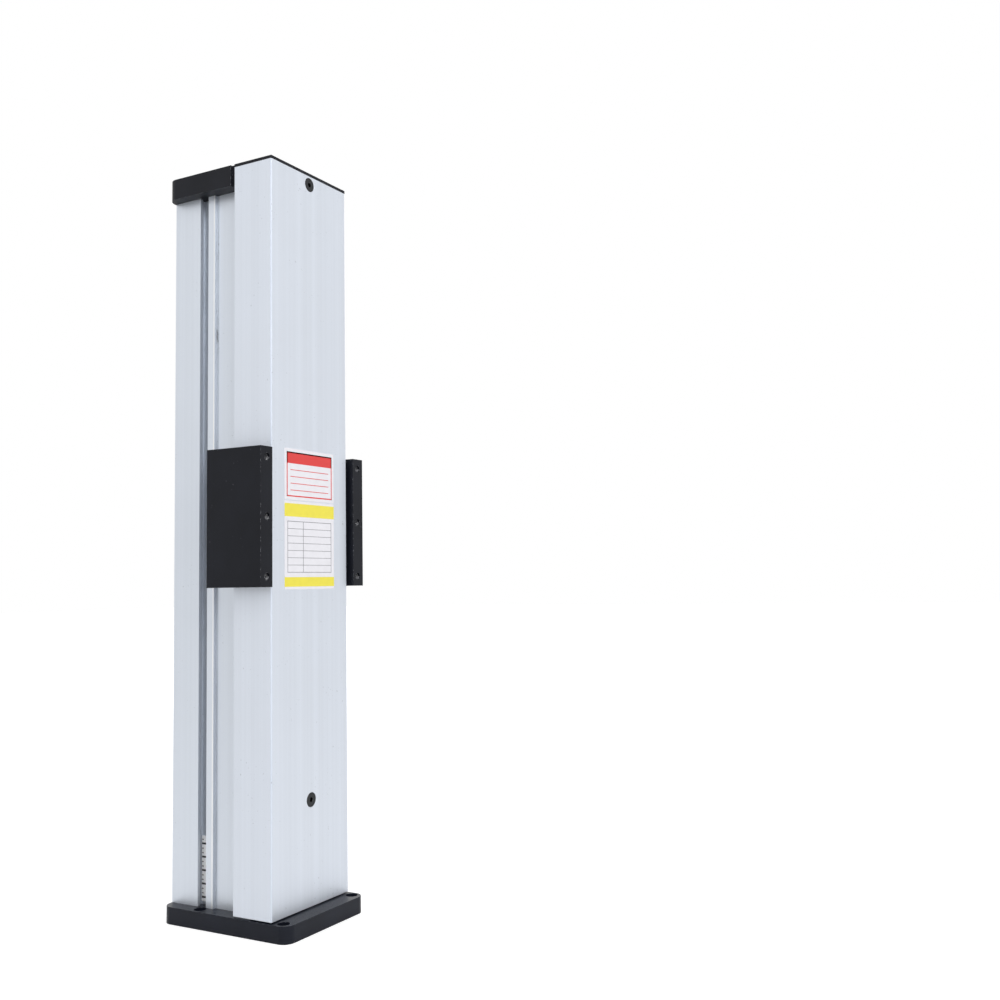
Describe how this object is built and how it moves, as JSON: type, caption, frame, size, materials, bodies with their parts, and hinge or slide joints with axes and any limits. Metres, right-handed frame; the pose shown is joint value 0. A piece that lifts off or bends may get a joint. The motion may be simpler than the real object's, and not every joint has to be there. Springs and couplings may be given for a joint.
{
  "type": "ball screw linear module",
  "caption": "Ball screw linear actuator: aluminium channel with a lid, a black carriage whose two uprights wrap round the lid, and a square motor flange.",
  "frame": {"origin": "centre of the motor pilot bore, in the underside of the motor flange, on the screw's axis", "axes": "+Z along the screw away from the motor; -Y toward the cover and the carriage's mounting faces; +Y out of the base's mounting back; +X across"},
  "size_m": [0.072, 0.072, 0.338],
  "materials": {
    "black_anodised": "black anodised aluminium, satin",
    "extruded_aluminium": "natural anodised, fine lines along the length",
    "ground_steel": "ground and polished",
    "nut_steel": "black oxide",
    "bearing_steel": "polished",
    "screw_steel": "black oxide",
    "hub_aluminium": "turned",
    "spider_elastomer": "moulded, satin",
    "buffer_rubber": "moulded, matt",
    "wiper_plastic": "moulded, matt",
    "cage_plastic": "moulded, matt",
    "cap_plastic": "moulded, matt"
  },
  "bodies": {
    "base": {"motor_flange": "black_anodised", "base_extrusion": "extruded_aluminium", "top_end_plate": "black_anodised", "cover": "extruded_aluminium", "bearing_block": "black_anodised", "bearing_cap": "black_anodised", "fixed_bearing_outer_rings": "bearing_steel", "fixed_bearing_balls": "bearing_steel", "fixed_bearing_cages": "cage_plastic", "end_bearing_outer_ring": "bearing_steel", "end_bearing_balls": "bearing_steel", "end_bearing_cage": "cage_plastic", "linear_rail": "ground_steel", "lower_buffer": "buffer_rubber", "upper_buffer": "buffer_rubber", "flange_screws": "screw_steel", "end_plate_screws": "screw_steel", "cover_screws": "screw_steel", "bearing_cap_screws": "screw_steel", "bearing_block_screws": "screw_steel", "rail_screws": "screw_steel"},
    "screw": {"ball_screw": "ground_steel", "spacer_collar": "bearing_steel", "lock_nut": "bearing_steel", "retaining_ring": "bearing_steel", "coupling_hub_motor": "hub_aluminium", "coupling_hub_screw": "hub_aluminium", "coupling_set_screws": "screw_steel", "coupling_spider": "spider_elastomer", "fixed_bearing_inner_rings": "bearing_steel", "end_bearing_inner_ring": "bearing_steel"},
    "carriage": {"carriage_saddle": "black_anodised", "ball_nut": "nut_steel", "nut_wipers": "wiper_plastic", "nut_screws": "screw_steel", "guide_block": "ground_steel", "guide_end_caps": "cap_plastic", "guide_end_seals": "buffer_rubber", "guide_screws": "screw_steel"}
  },
  "joints": [
    {"name": "screw_turn", "type": "hinge", "parent": "base", "child": "screw", "pos_m": [0, 0, 0.168], "axis": [0, 0, 1], "range_deg": [-7920, 5580]},
    {"name": "carriage_travel", "type": "slide", "parent": "base", "child": "carriage", "axis": [0, 0, 1], "range_m": [-0.0775, 0.11]}
  ],
  "couplings": [
    {"joint": "screw_turn", "follows": "carriage_travel", "rad_per_m": -1256.6}
  ]
}
